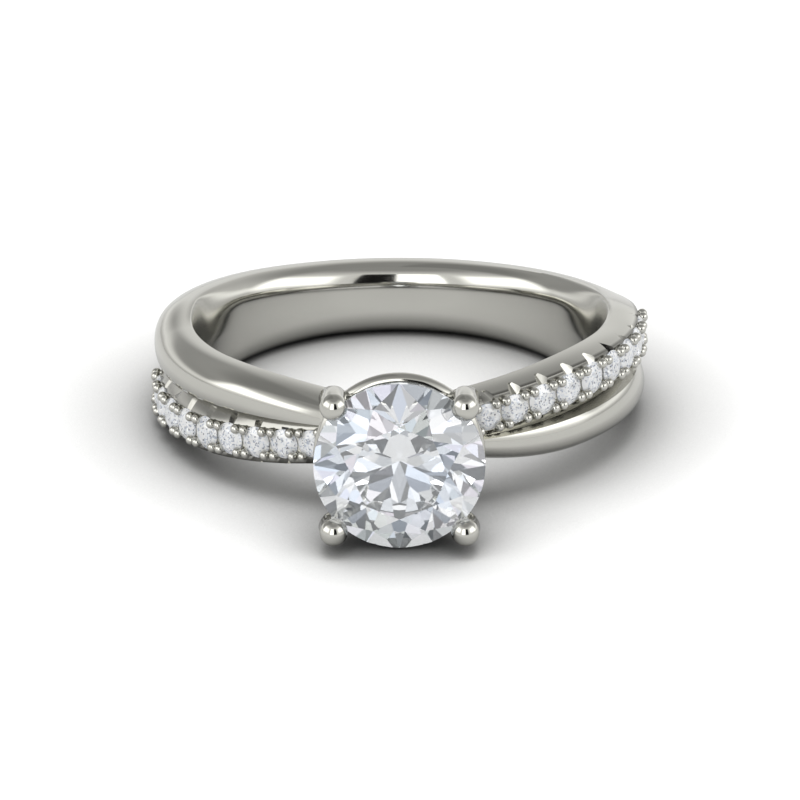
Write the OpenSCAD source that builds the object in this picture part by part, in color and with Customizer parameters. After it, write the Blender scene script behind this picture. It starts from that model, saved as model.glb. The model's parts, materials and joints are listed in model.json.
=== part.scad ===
// Split-shank engagement ring lying on its side: a polished strand and a stone-set
// strand cross under a four-prong head and run together into one rounded band.
// Ring axis is Z before the resting tilt, the head points to -Y. Millimetres.

/* [Band] */
// Inside diameter of the finger hole
bore_d = 16.5; // [16.4:0.05:16.6]
// Half width of the band at the back
back_half = 1.57; // [1.45:0.01:1.65]
// How far the band stands out at its crest beside the finger
wall_side = 2.27; // [2.2:0.01:2.35]
// How far the band stands out at its crest behind the finger
wall_back = 2.02; // [1.9:0.01:2.1]

/* [Centre stone] */
// Diameter of the centre stone
stone_d = 7.4; // [7.2:0.02:7.5]
// Distance from the ring axis to the girdle of the centre stone
girdle_y = 14.4; // [14.2:0.02:14.6]

/* [Prong head] */
// Diameter of the ball tips
tip_d = 1.22; // [1.16:0.01:1.26]
// Diameter of the posts below the tips
post_d = 1.04; // [0.9:0.02:1.1]
// Outside diameter of the round rail under the stone
rail_d = 7.4; // [7.2:0.05:7.5]

/* [Small stones] */
// Diameter of the small stones at the sides, they shrink toward the head
small_d = 1.48; // [1.4:0.01:1.5]
// Diameter of the beads that hold the small stones
bead_d = 0.40; // [0.36:0.01:0.41]
// Gap between every stone and its metal seat
seat_gap = 0.025; // [0.022:0.001:0.03]

/* [Hidden] */

bore_r = bore_d / 2;
crest_r = bore_r + wall_side;
crest_back_r = bore_r + wall_back;
core_r = bore_r + 0.85;
deck_r = crest_r - 0.25;
deck_half = 0.60;
small_girdle_r = crest_r - 0.22;
small_rows = 9;
stations = 80;
chain_n = 16;

// Heights of the rail and the ball tips along the head
rail_y = 12.9;
rail_tube = 0.36;
rail_c = rail_d / 2 - rail_tube;
tip_y = girdle_y + 0.57;
tip_side = 2.83;

// Resting attitude: the ring stands on the underside of its rail and the back edge of its band
rest_span = rail_y + core_r;
rest_drop = rail_c - back_half;
rest_pitch = -atan(rest_drop / rest_span) - asin(rail_tube / norm([rest_span, rest_drop]));
rest_z = back_half * cos(rest_pitch) - core_r * sin(rest_pitch);
rest_front = tip_y * cos(rest_pitch) - tip_side * sin(rest_pitch) + tip_d / 2;
rest_back = crest_back_r * cos(rest_pitch) - 0.3 * sin(rest_pitch);
rest_shift = [0, (rest_front - rest_back) / 2, rest_z];

white_gold = [0.78, 0.77, 0.74];
gem_clear = [0.86, 0.90, 0.96];

// Smooth step from 0 to 1
function ease(t) = t <= 0 ? 0 : t >= 1 ? 1 : t * t * (3 - 2 * t);
function mix(a, b, t) = a + (b - a) * t;

// Height of the stone-set strand's centre line away from the mid plane
function set_z(a) = 1.34 * sin(90 * min(a, 72) / 72);
// Free edge of the polished strand, which swells a little where the strands join
function top_z(a) = back_half + 0.35 * (1 - ease((a - 90) / 90))
    + 0.20 * ease((a - 82) / 22) * (1 - ease((a - 110) / 52))
    - 1.07 * (1 - sin(90 * min(a, 50) / 50));
// Free edge of the stone-set strand
function low_z(a) = mix(set_z(a) + 1.0 + 0.14 * (1 - ease((a - 45) / 35)), top_z(a) - 0.12,
    ease((a - 90) / 28));
// Free edge as the finger hole sees it, run over a longer stretch
function low_in(a) = mix(set_z(a) + 1.0, top_z(a), ease((a - 84) / 42));
// Height of the seam between the strands, on the polished side
function seam_z(a) = 0.30 * ease(a / 18) * (1 - ease((a - 15) / 75));
// Bottom of the groove along the seam
function seam_r(a) = mix(core_r + 0.95, core_r + 0.25, ease((a - 10) / 40));
// Share of the single band in the section, first near the seam and later at the free edges
function join_w(a, i) = i < 6 ? ease((a - 93) / 20) : ease((a - 100) / 65);
function crest(a) = mix(crest_r, crest_back_r, ease((a - 105) / 75));
// Rounded section: radius over the core at u of its half width
function dome(u, n) = pow(max(0, 1 - pow(min(1, abs(u)), n)), 1 / n);
// Shoulder of the stone-set strand beside its flat deck
function shoulder(u) = deck_r - 0.02 - 0.50 * pow(max(0, u - deck_half) / 0.7, 1.35);
// Width of the rounding between side face and finger hole
function inner_q(a) = 0.14 + 0.31 * ease(a / 60) + 0.28 * ease((a - 75) / 60);

// Share of the domed wall that the finger hole has beside the finger
function side_share(a) = ease((a - 5) / 40) * (1 - ease((a - 102) / 26));
// Inner part shared by every section, from the side face to the finger hole
function inner_pts(a, zt) = let (q = inner_q(a), v = side_share(a),
        soft = [[0.62, zt - 0.01], [0.37, zt - 0.40 * q], [0.15, zt - q], [-0.10, zt - q - 0.12], [-0.14, 0]],
        domed = [[0.74, zt - 0.02], [0.65, zt - 0.09], [0.37, 0.70 * zt], [0.08, 0.34 * zt], [-0.14, 0]])
    [for (i = [0 : 4]) [bore_r + mix(soft[i][0], domed[i][0], v), mix(soft[i][1], domed[i][1], v)]];

// Outer part of a smooth rounded half section from the seam to its free edge at top_r
function round_pts(z0, zt, zc, lo_h, up_h, cr, n, top_r, top_n) = [
    for (k = [1 : 10])
        k <= 5
        ? let (z = mix(z0, zc, k == 1 ? 0 : (k - 1) / 4))
          [core_r + (cr - core_r) * dome((z - zc) / lo_h, n), z]
        : let (t = (k - 5) * 18)
          [top_r + (cr - top_r) * pow(cos(min(t, 89.9)), 2 / top_n), zc + up_h * pow(sin(t), 2 / top_n)]];

// Polished strand, points from the seam groove over the outside to the finger hole
function polished(a) = let (zt = top_z(a), up = mix(0.80, 1.05, ease(a / 60)), zc = zt - up)
    concat([[seam_r(a), seam_z(a)]],
        round_pts(seam_z(a) + 0.03, zt, zc, 1.3, up, crest(a), 2.2,
            bore_r + mix(0.66, 0.78, side_share(a)), 2.08),
        inner_pts(a, zt));

// Stone-set strand in the same order, heights counted away from the polished one
function stone_set(a) = let (c = set_z(a), zb = low_z(a), z0 = -seam_z(a))
    concat([[seam_r(a), z0]],
        [for (k = [1 : 5]) let (z = mix(z0, c - deck_half, k / 5)) [shoulder(c - z), z]],
        [[deck_r, c], [deck_r - 0.01, zb - 0.34], [deck_r - 0.07, zb - 0.23],
         [deck_r - 0.40, zb - 0.08], [core_r + 0.1, zb - 0.01]],
        inner_pts(a, low_in(a)));

// Half of the single band behind the finger
function back_half_pts(a) = let (zt = top_z(a), zc = 0.30)
    concat([[crest(a), 0]],
        round_pts(0.04, zt, zc, 6, zt - zc, crest(a), 2.3, core_r, 2.5),
        inner_pts(a, zt));

function half_p(a) = let (p = polished(a), b = back_half_pts(a))
    [for (i = [0 : chain_n - 1]) mix(p[i], b[i], join_w(a, i))];
function half_s(a) = let (s = stone_set(a), b = back_half_pts(a))
    [for (i = [0 : chain_n - 1]) mix(s[i], b[i], join_w(a, i))];

// Closed section at an angle from the head, negative to the left
function section(phi) = let (a = abs(phi), m = ease((phi + 14) / 28),
        p = half_p(a), s = half_s(a),
        up = [for (i = [0 : chain_n - 1]) mix(p[i], s[i], m)],
        dn = [for (i = [0 : chain_n - 1]) mix(s[i], p[i], m)],
        z0 = mix(up[0][1], -dn[0][1], 0.5))
    concat([[(up[0][0] + dn[0][0]) / 2, z0]],
        [for (i = [1 : chain_n - 1]) up[i]],
        [for (i = [chain_n - 2 : -1 : 1]) [dn[i][0], -dn[i][1]]]);

ring_m = 2 * chain_n - 2;

// Polished and stone-set strands with the back band as one closed ring
module strands() {
    pts = [for (i = [0 : stations - 1])
        let (phi = -180 + 360 * i / stations, s = section(phi))
        for (j = [0 : ring_m - 1]) [s[j][0] * sin(phi), -s[j][0] * cos(phi), s[j][1]]];
    tris = [for (i = [0 : stations - 1], j = [0 : ring_m - 1])
        let (i2 = (i + 1) % stations, j2 = (j + 1) % ring_m,
            p = i * ring_m + j, q = i * ring_m + j2, r = i2 * ring_m + j2, s = i2 * ring_m + j)
        each [[p, q, r], [p, r, s]]];
    polyhedron(points = pts, faces = tris, convexity = 6);
}

// Angle of a small stone from the head, 0 is the first one
function stone_a(i) = 21.5 + 8.95 * i - 4.6 * (1 - exp(-i / 2.2));
function stone_dia(i) = small_d - 0.28 * exp(-i / 2.2);
// Slope of the strand's centre line against the mid plane
function slope(a) = atan((set_z(a + 0.5) - set_z(a - 0.5)) / (crest_r * 3.14159265 / 180));

// Places children on the stone-set strand: side -1 left, 1 right
module on_strand(side, a, z) {
    rotate([0, 0, side * a])
        translate([0, 0, side * z])
            rotate([90, 0, 0])
                children();
}

// Envelope of a cut stone grown by a gap, axis +Z, girdle at 0
module stone_room(d, g) {
    r = d / 2 + g;
    rotate_extrude($fn = 32)
        polygon([[0, -0.44 * d - 1.4 * g], [r, -0.02 * d - 0.3 * g], [r, 0.01 * d + 0.3 * g],
            [0.29 * d + g, 0.155 * d + g], [0, 0.155 * d + g]]);
}

// Round brilliant: flat table, star, kite and girdle facets, pointed pavilion, axis +Z
module brilliant(d, seg) {
    r = d / 2;
    h0 = 0.01 * d;
    h1 = -0.02 * d;
    tc = tan(33);
    tp = tan(40.5);
    rt = 0.56 * r;
    rs = 0.80 * r;
    rl = 0.42 * r;
    f = seg / 8;
    cu = 1 / cos(180 / seg);
    top = [for (k = [0 : 7]) [rt * cos(45 * k), rt * sin(45 * k), h0 + (r - rt) * tc]];
    star = [for (k = [0 : 7]) [rs * cos(45 * k + 22.5), rs * sin(45 * k + 22.5),
        h0 + (r - rs * cos(22.5)) * tc]];
    gir = [for (k = [0 : seg - 1]) [r * cos(360 * k / seg), r * sin(360 * k / seg), h0]];
    gil = [for (k = [0 : seg - 1]) [r * cos(360 * k / seg), r * sin(360 * k / seg), h1]];
    low = [for (k = [0 : 7]) [rl * cos(45 * k + 22.5), rl * sin(45 * k + 22.5),
        h1 - (r - rl * cos(22.5)) * tp]];
    g0 = 16;
    l0 = 16 + seg;
    w0 = 16 + 2 * seg;
    c0 = 24 + 2 * seg;
    faces = concat(
        [[for (k = [7 : -1 : 0]) k]],
        [for (k = [0 : 7]) [k, (k + 1) % 8, 8 + k]],
        [for (k = [0 : 7]) each [[k, 8 + k, g0 + f * k], [k, g0 + f * k, 8 + (k + 7) % 8]]],
        [for (k = [0 : 7], i = [0 : f - 1]) [8 + k, g0 + (f * k + i + 1) % seg, g0 + f * k + i]],
        [for (k = [0 : seg - 1]) each [[g0 + k, g0 + (k + 1) % seg, l0 + (k + 1) % seg],
            [g0 + k, l0 + (k + 1) % seg, l0 + k]]],
        [for (k = [0 : 7], i = [0 : f - 1]) [w0 + k, l0 + f * k + i, l0 + (f * k + i + 1) % seg]],
        [for (k = [0 : 7]) each [[c0, w0 + (k + 7) % 8, l0 + f * k], [c0, l0 + f * k, w0 + k]]]);
    polyhedron(points = concat(top, star, gir, gil, low, [[0, 0, h1 - r * tp]]),
        faces = faces, convexity = 2);
}

// One bead on its short post, axis +Z
module bead() {
    translate([0, 0, -0.62])
        cylinder(r = 0.44 * bead_d, h = 0.62, $fn = 16);
    sphere(d = bead_d, $fn = 16);
}

// Pairs of beads at both edges of the strand, one set between neighbouring stones
module bead_rows(side) {
    for (i = [0 : small_rows])
        for (along = [-0.24, 0.24], across = [-0.52, 0.52]) {
            a = i == 0 ? stone_a(0) - 3.7 : i == small_rows ? stone_a(small_rows - 1) + 4.6
                : (stone_a(i - 1) + stone_a(i)) / 2;
            s = slope(a);
            da = (along * cos(s) - across * sin(s)) / crest_r * 180 / 3.14159265;
            dz = along * sin(s) + across * cos(s);
            on_strand(side, a + da, set_z(a) + dz)
                translate([0, 0, crest_r - 0.06])
                    bead();
        }
}

// Pointed cut that slopes outward from a small stone's edge, way 1 or -1 along the strand's width
module cut(way, reach) {
    translate([0, 0.44 * way, small_girdle_r - 0.12])
        rotate([90 - 40 * way, 0, 0])
            translate([0, 0, way > 0 ? -reach : -0.5])
                linear_extrude(height = reach + 0.5)
                    polygon([[0, 0], [0.40, 0.45], [-0.40, 0.45]]);
}

// Seats of the small stones with their pointed cuts
module seat_row(side) {
    for (i = [0 : small_rows - 1])
        on_strand(side, stone_a(i), set_z(stone_a(i))) {
            translate([0, 0, small_girdle_r])
                stone_room(stone_dia(i), seat_gap);
            cut(side, 0.70);
            if (i > 0)
                cut(-side, min(0.70, (set_z(stone_a(i)) - 0.63) / 0.766));
        }
}

// Round rod between two points with a ball at the far one
module rod(p, q, r) {
    v = q - p;
    l = norm(v);
    translate(p)
        rotate([0, acos(v[2] / l), atan2(v[1], v[0])])
            cylinder(r = r, h = l, $fn = 24);
}

// One prong: foot in the band, leg, knee, neck outside the stone and ball tip over it
module prong(sx, sz) {
    tip = [sx * tip_side, -tip_y, sz * tip_side];
    neck = [sx * 2.88, -girdle_y + 0.35, sz * 2.90];
    knee = [sx * 2.12, -12.45, sz * 2.12];
    foot = [sx * 0.62, -9.9, sz * 0.62];
    union() {
        rod(foot, knee, post_d / 2 - 0.06);
        translate(knee)
            sphere(r = post_d / 2 + 0.01, $fn = 24);
        rod(knee, neck, post_d / 2 - 0.02);
        translate(neck)
            sphere(r = post_d / 2 + 0.05, $fn = 24);
        rod(neck, tip, post_d / 2 + 0.02);
        translate(tip)
            sphere(r = tip_d / 2, $fn = 32);
    }
}

// Four prongs and the round rail that ties them together
module head_metal() {
    prong(-1, 1);
    prong(1, 1);
    prong(-1, -1);
    prong(1, -1);
    translate([0, -rail_y, 0])
        rotate([90, 0, 0])
            rotate_extrude($fn = 64)
                translate([rail_c, 0])
                    circle(r = rail_tube, $fn = 24);
}

module at_rest() {
    translate(rest_shift)
        rotate([rest_pitch, 0, 0])
            children();
}

module ring_mount() {
    color(white_gold)
        at_rest()
            difference() {
                union() {
                    strands();
                    head_metal();
                    bead_rows(-1);
                    bead_rows(1);
                }
                cylinder(r = bore_r, h = 12, center = true, $fn = 128);
                translate([0, -girdle_y, 0])
                    rotate([90, 0, 0])
                        stone_room(stone_d, 0.03);
                seat_row(-1);
                seat_row(1);
            }
}

module centre_stone() {
    color(gem_clear)
        at_rest()
            translate([0, -girdle_y, 0])
                rotate([90, 0, 0])
                    brilliant(stone_d, 32);
}

module pave_stone(n) {
    side = n < small_rows ? -1 : 1;
    i = n % small_rows;
    color(gem_clear)
        at_rest()
            on_strand(side, stone_a(i), set_z(stone_a(i)))
                translate([0, 0, small_girdle_r])
                    rotate([0, 0, slope(stone_a(i))])
                        brilliant(stone_dia(i), 16);
}

ring_mount();
centre_stone();
pave_stone(0);  // pave_stone_01
pave_stone(1);  // pave_stone_02
pave_stone(2);  // pave_stone_03
pave_stone(3);  // pave_stone_04
pave_stone(4);  // pave_stone_05
pave_stone(5);  // pave_stone_06
pave_stone(6);  // pave_stone_07
pave_stone(7);  // pave_stone_08
pave_stone(8);  // pave_stone_09
pave_stone(9);  // pave_stone_10
pave_stone(10);  // pave_stone_11
pave_stone(11);  // pave_stone_12
pave_stone(12);  // pave_stone_13
pave_stone(13);  // pave_stone_14
pave_stone(14);  // pave_stone_15
pave_stone(15);  // pave_stone_16
pave_stone(16);  // pave_stone_17
pave_stone(17);  // pave_stone_18
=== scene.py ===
# %% [markdown]
# # A split-shank engagement ring
# This lesson dresses a packed ring model in Blender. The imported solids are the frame, in metres.
# The steps below remake the metal with a finer surface, cut the stone seats, set the beads, facet
# the stones, give each finish a procedural material and build a small studio.

import json
import math

import bmesh
import bpy
import numpy as np
from mathutils import Matrix, Vector


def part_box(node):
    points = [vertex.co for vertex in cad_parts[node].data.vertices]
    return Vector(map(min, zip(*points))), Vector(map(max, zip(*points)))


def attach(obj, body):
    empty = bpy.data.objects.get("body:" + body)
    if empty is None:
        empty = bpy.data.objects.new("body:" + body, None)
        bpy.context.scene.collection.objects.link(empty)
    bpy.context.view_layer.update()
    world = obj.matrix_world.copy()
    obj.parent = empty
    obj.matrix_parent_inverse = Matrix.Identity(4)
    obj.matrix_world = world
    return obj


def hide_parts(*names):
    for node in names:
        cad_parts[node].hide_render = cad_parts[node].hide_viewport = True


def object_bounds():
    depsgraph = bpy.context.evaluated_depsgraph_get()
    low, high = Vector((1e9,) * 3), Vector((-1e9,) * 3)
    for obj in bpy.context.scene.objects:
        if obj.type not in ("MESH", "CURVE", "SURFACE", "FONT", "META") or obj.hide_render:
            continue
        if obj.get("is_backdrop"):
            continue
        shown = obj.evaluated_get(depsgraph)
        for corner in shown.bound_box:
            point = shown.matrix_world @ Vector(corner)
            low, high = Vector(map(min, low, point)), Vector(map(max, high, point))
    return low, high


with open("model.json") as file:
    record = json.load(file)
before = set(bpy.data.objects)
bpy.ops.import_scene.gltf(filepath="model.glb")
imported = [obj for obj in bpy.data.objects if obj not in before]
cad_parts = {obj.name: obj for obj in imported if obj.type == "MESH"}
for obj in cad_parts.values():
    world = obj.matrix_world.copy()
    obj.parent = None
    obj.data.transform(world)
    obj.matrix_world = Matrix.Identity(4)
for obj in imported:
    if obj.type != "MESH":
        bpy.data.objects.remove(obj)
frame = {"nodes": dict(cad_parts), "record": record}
cad_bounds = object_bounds()
print("CAD nodes:", len(frame["nodes"]))

# %% [markdown]
# ## The ring's own numbers
# A goldsmith works from a few sizes: the finger hole, the stone, how far the band stands out, how
# wide it is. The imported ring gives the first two. The ring is drawn around its own axis first (Z
# through the finger, the head toward -Y, in millimetres) and then laid on the table by one placement,
# the same one the solids have. It rests on the back edge of the band and the underside of the rail,
# which gives the lean.

# %% Main sizes and the placement on the table
MM = 0.001
finger_hole = next(m for m in frame["record"]["mounts"] if m["name"] == "finger_bore")
stone_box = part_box("centre_stone")
BORE = round(finger_hole["dims"]["r_mm"], 2)
STONE_R = round((stone_box[1].x - stone_box[0].x) / 2 / MM, 2)
CREST = BORE + 2.27
CREST_BACK = BORE + 2.02
CORE = BORE + 0.85
BACK_HALF = 1.57
DECK = CREST - 0.25
DECK_HALF = 0.60
GIRDLE_Y = 14.4
RAIL_Y, RAIL_TUBE = 12.9, 0.36
RAIL_C = STONE_R - RAIL_TUBE
TIP_Y, TIP_SIDE, TIP_R = GIRDLE_Y + 0.57, 2.83, 0.61

span, drop = RAIL_Y + CORE, RAIL_C - BACK_HALF
PITCH = -math.atan2(drop, span) - math.asin(RAIL_TUBE / math.hypot(span, drop))
rest_z = BACK_HALF * math.cos(PITCH) - CORE * math.sin(PITCH)
rest_front = TIP_Y * math.cos(PITCH) - TIP_SIDE * math.sin(PITCH) + TIP_R
rest_back = CREST_BACK * math.cos(PITCH) - 0.3 * math.sin(PITCH)
PLACE = (Matrix.Scale(MM, 4)
         @ Matrix.Translation((0, (rest_front - rest_back) / 2, rest_z))
         @ Matrix.Rotation(PITCH, 4, "X"))
print("finger hole %.1f mm, stone %.1f mm" % (2 * BORE, 2 * STONE_R))
print("ring leans by %.2f degrees" % math.degrees(PITCH))

# %% [markdown]
# ## Where the strands run
# Each strand is described by a few smooth curves of the angle from the head, in degrees. ease() is a
# smooth step, which keeps the metal free of kinks where one form runs into the next. A curve such as
# ease((a - 82) / 22) starts at 82 degrees and is complete 22 degrees further.

# %% Helpers for smooth curves
def ease(t):
    t = np.clip(t, 0.0, 1.0)
    return t * t * (3 - 2 * t)


def mix(a, b, t):
    return a + (b - a) * t


def sin_d(a):
    return np.sin(np.radians(a))


print("smooth step at a quarter:", float(ease(0.25)))

# %% Edges and seam of the two strands
SPREAD, SPREAD_END = 1.34, 72
RISE, RISE_END = 1.07, 50
SIDE_EXTRA = 0.35
HALF_WIDTH = 1.0
SEAM_OFF = 0.30
SEAM_HEAD, SEAM_SIDE = CORE + 0.95, CORE + 0.25


def set_z(a):
    """Centre line of the stone strand, as a distance from the ring's mid plane."""
    return SPREAD * sin_d(90 * np.minimum(a, SPREAD_END) / SPREAD_END)


def top_z(a):
    """Outer edge of the polished strand and of the back band."""
    swell = 0.20 * ease((a - 82) / 22) * (1 - ease((a - 110) / 52))
    return (BACK_HALF + swell + SIDE_EXTRA * (1 - ease((a - 90) / 90))
            - RISE * (1 - sin_d(90 * np.minimum(a, RISE_END) / RISE_END)))


def low_z(a):
    """Outer edge of the stone strand."""
    wide = HALF_WIDTH + 0.14 * (1 - ease((a - 45) / 35))
    return mix(set_z(a) + wide, top_z(a) - 0.12, ease((a - 90) / 28))


def low_in(a):
    """The same edge where it meets the finger hole."""
    return mix(set_z(a) + HALF_WIDTH, top_z(a), ease((a - 84) / 42))


def seam_z(a):
    """Seam between the strands, as a distance from the mid plane."""
    return SEAM_OFF * ease(a / 18) * (1 - ease((a - 15) / 75))


def seam_r(a):
    """Radius of the bottom of the seam."""
    return mix(SEAM_HEAD, SEAM_SIDE, ease((a - 10) / 40))


def crest(a):
    """Largest radius of the band."""
    return mix(CREST, CREST_BACK, ease((a - 105) / 75))


def inner_q(a):
    """Size of the roll into the finger hole, before the part that all angles share."""
    return 0.14 + 0.31 * ease(a / 60) + 0.28 * ease((a - 75) / 60)


print("stone strand centre at 90 degrees: %.2f mm off the mid plane" % float(set_z(90.0)))

# %% [markdown]
# ## The metal band as one woven skin
# A ring band is a section carried round a circle. Here the section changes on the way: behind the
# finger it is one rounded band, beside the finger it splits into a polished strand and a strand
# that carries stones. Every section has the same count of points, so neighbouring sections join
# with quads and the surface stays smooth.

# %% Way into the finger hole
N_DOME, N_SIDE, N_IN, N_WALL = 20, 16, 14, 6
ROLL_SHARED = 0.30
EDGE_R = 0.12
WALL_POWER = 1.3


def side_share(a):
    """How far the section has the firm edge of the strands: 0 at the head and back, 1 beside."""
    return ease((a - 5) / 40) * (1 - ease((a - 102) / 26))


def inner_points(a, zt, top_r=CORE, drop=0.0):
    """A soft roll behind the finger, a firm edge and a domed wall beside it."""
    v = side_share(a)
    t = np.radians(np.linspace(0, 90, N_IN + 1)[1:])
    roll = inner_q(a) + ROLL_SHARED
    r = BORE + (top_r - BORE) * (1 - np.sin(t) ** 0.95)
    z = zt - roll * (1 - np.cos(t) ** 0.95)
    zw = np.linspace(z[-1], 0, N_WALL + 1)[1:]
    soft = np.concatenate([np.stack([r, z], 1), np.stack([np.full(N_WALL, BORE), zw], 1)])
    t = np.radians(np.linspace(0, 62, 7)[1:])
    edge_r, edge_z = top_r - EDGE_R * np.sin(t), zt - drop - EDGE_R * (1 - np.cos(t))
    z = np.linspace(edge_z[-1], 0, N_IN + N_WALL - 5)[1:]
    r = BORE + (edge_r[-1] - BORE) * (z / edge_z[-1]) ** WALL_POWER
    firm = np.concatenate([np.stack([edge_r, edge_z], 1), np.stack([r, z], 1)])
    return mix(soft, firm, v)


print("points from the edge to the mid plane:", len(inner_points(60.0, float(top_z(60.0)))))

# %% [markdown]
# The outside of a strand is a rounded form. A circle would look like wire and a rectangle like a bar,
# so a superellipse is used, whose power says how full the form is.

# %% Half sections of the band
POLISHED_LOW, POLISHED_POWER, POLISHED_TOP_POWER = 1.3, 2.2, 2.08
UP_HEAD, UP_SIDE = 0.80, 1.05
EDGE_HEAD, EDGE_SIDE = 0.66, 0.78
SHOULDER_STEP, SHOULDER_FALL, SHOULDER_RUN, SHOULDER_POWER = 0.02, 0.50, 0.7, 1.35
BACK_CREST_Z, BACK_LOW, BACK_POWER, BACK_TOP_POWER = 0.30, 6, 2.3, 2.5
DECK_EDGE = 0.345
FACE_LEAN = 0.24
STONE_INNER_R = CORE - 0.05


def rounded(z0, zc, lo_half, up_half, cr, n, top_r, top_n):
    """Outline from height z0 over the highest point at zc to the edge at radius top_r."""
    z = np.linspace(z0, zc, N_DOME)
    u = np.clip(np.abs(z - zc) / lo_half, 0, 1)
    low = np.stack([CORE + (cr - CORE) * (1 - u ** n) ** (1 / n), z], 1)
    t = np.radians(np.linspace(0, 90, N_SIDE + 1)[1:])
    up = np.stack([top_r + (cr - top_r) * np.clip(np.cos(t), 0, 1) ** (2 / top_n),
                   zc + up_half * np.sin(t) ** (2 / top_n)], 1)
    return np.concatenate([low, up])


def polished_half(a):
    zt = top_z(a)
    up = mix(UP_HEAD, UP_SIDE, ease(a / 60))
    zc, top_r = zt - up, BORE + mix(EDGE_HEAD, EDGE_SIDE, side_share(a))
    return np.concatenate([[[seam_r(a), seam_z(a)]],
                           rounded(seam_z(a) + 0.03, zc, POLISHED_LOW, up, crest(a), POLISHED_POWER,
                                   top_r, POLISHED_TOP_POWER),
                           inner_points(a, zt, top_r)])


def shoulder(u):
    """Radius beside the row of stones, at the distance u from its centre line."""
    past = np.maximum(0, u - DECK_HALF)
    return DECK - SHOULDER_STEP - SHOULDER_FALL * (past / SHOULDER_RUN) ** SHOULDER_POWER


def stone_half(a):
    c, zb, z0 = set_z(a), low_z(a), -seam_z(a)
    z = np.linspace(z0, c - DECK_HALF, N_DOME - 4)
    near = np.stack([shoulder(c - z), z], 1)
    zd = np.linspace(c - DECK_HALF, zb - DECK_EDGE, 6)[1:-1]
    deck = np.stack([np.full(4, DECK), zd], 1)
    t = np.radians(np.linspace(0, 61, 6))
    edge = np.stack([DECK - EDGE_R + EDGE_R * np.cos(t), zb - DECK_EDGE + EDGE_R * np.sin(t)], 1)
    k = np.linspace(0, 1, N_SIDE - 5)[1:]
    face = np.stack([mix(edge[-1, 0], STONE_INNER_R, k), zb - FACE_LEAN * (1 - k) ** 2], 1)
    return np.concatenate([[[seam_r(a), z0]], near, deck, edge, face,
                           inner_points(a, low_in(a), STONE_INNER_R, drop=0.01)])


def back_half(a):
    zt = top_z(a)
    return np.concatenate([[[crest(a), 0]],
                           rounded(0.04, BACK_CREST_Z, BACK_LOW, zt - BACK_CREST_Z, crest(a),
                                   BACK_POWER, CORE, BACK_TOP_POWER),
                           inner_points(a, zt)])


print("points in a half section:", [len(half(60.0)) for half in (polished_half, stone_half, back_half)])

# %% [markdown]
# The section at one angle mixes these halves. Left of the head the polished strand is on top, right
# of the head it is below, so the two strands cross under the stone. The loop runs from the seam over
# the upper half to the finger hole and back over the lower half.

# %% Full section and a mesh helper
HALF_POINTS = len(back_half(0.0))
CROSSING = 14


def section(phi):
    a = abs(phi)
    m = ease((phi + CROSSING) / (2 * CROSSING))
    w = np.where(np.arange(HALF_POINTS) < N_DOME, ease((a - 93) / 20), ease((a - 100) / 65))[:, None]
    back = back_half(a)
    p = mix(polished_half(a), back, w)
    s = mix(stone_half(a), back, w)
    up, dn = mix(p, s, m), mix(s, p, m)
    seam = [[(up[0, 0] + dn[0, 0]) / 2, (up[0, 1] - dn[0, 1]) / 2]]
    return np.concatenate([seam, up[1:], dn[-2:0:-1] * [1, -1]])


def add_mesh(name, verts, faces, place=PLACE, smooth=True):
    mesh = bpy.data.meshes.new(name)
    mesh.from_pydata([tuple(v) for v in verts], [], [tuple(int(i) for i in f) for f in faces])
    mesh.transform(place)
    mesh.polygons.foreach_set("use_smooth", [smooth] * len(mesh.polygons))
    mesh.update()
    obj = bpy.data.objects.new(name, mesh)
    bpy.context.scene.collection.objects.link(obj)
    return obj


def grid_faces(rows, cols):
    """Quads of a sheet that is closed in both directions."""
    i, j = np.meshgrid(np.arange(rows), np.arange(cols), indexing="ij")
    i2, j2 = (i + 1) % rows, (j + 1) % cols
    return np.stack([i * cols + j, i * cols + j2, i2 * cols + j2, i2 * cols + j], -1).reshape(-1, 4)


print("points in a full section:", len(section(60.0)))

# %% [markdown]
# The band skin itself. It could be sculpted or swept with a curve, but a grid of computed sections
# keeps the finger hole exactly round and puts the strands where the solids have them.

# %% Band skin
STATIONS = 640
angles = np.linspace(-180, 180, STATIONS, endpoint=False)
rings = []
for phi in angles:
    s = section(phi)
    rings.append(np.stack([s[:, 0] * sin_d(phi), -s[:, 0] * np.cos(np.radians(phi)), s[:, 1]], 1))
rings = np.array(rings)
band = add_mesh("band", rings.reshape(-1, 3), grid_faces(STATIONS, rings.shape[1]))
print("band skin:", len(band.data.vertices), "points")

# %% [markdown]
# ## Places of the small stones
# The stones get smaller toward the head. Each sits on the strand's centre line, turned with its
# slope. on_strand() gives the placement for a side, an angle and a height; its Z points outward.

# %% Row of small stones
SMALL_STONES = 9
SMALL_GIRDLE = CREST - 0.22
FIRST_A, STEP_A, CLOSER_A = 21.5, 8.95, 4.6
LARGE_DIA, LESS_DIA = 1.48, 0.28
TAPER = 2.2
GAP = 0.025


def stone_a(i):
    """Angle from the head to stone i: the first ones are small and sit closer together."""
    return FIRST_A + STEP_A * i - CLOSER_A * (1 - math.exp(-i / TAPER))


def stone_dia(i):
    return LARGE_DIA - LESS_DIA * math.exp(-i / TAPER)


def slope(a):
    """Slope of the strand's centre line against the mid plane, from one degree of its run."""
    return math.atan(float(set_z(a + 0.5) - set_z(a - 0.5)) / (CREST * math.pi / 180))


def on_strand(side, a, z, r):
    return (Matrix.Rotation(math.radians(side * a), 4, "Z") @ Matrix.Translation((0, 0, side * z))
            @ Matrix.Rotation(math.pi / 2, 4, "X") @ Matrix.Translation((0, 0, r)))


seats = [(side, i, on_strand(side, stone_a(i), float(set_z(stone_a(i))), SMALL_GIRDLE))
         for side in (-1, 1) for i in range(SMALL_STONES)]
print("small stones:", len(seats))

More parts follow.
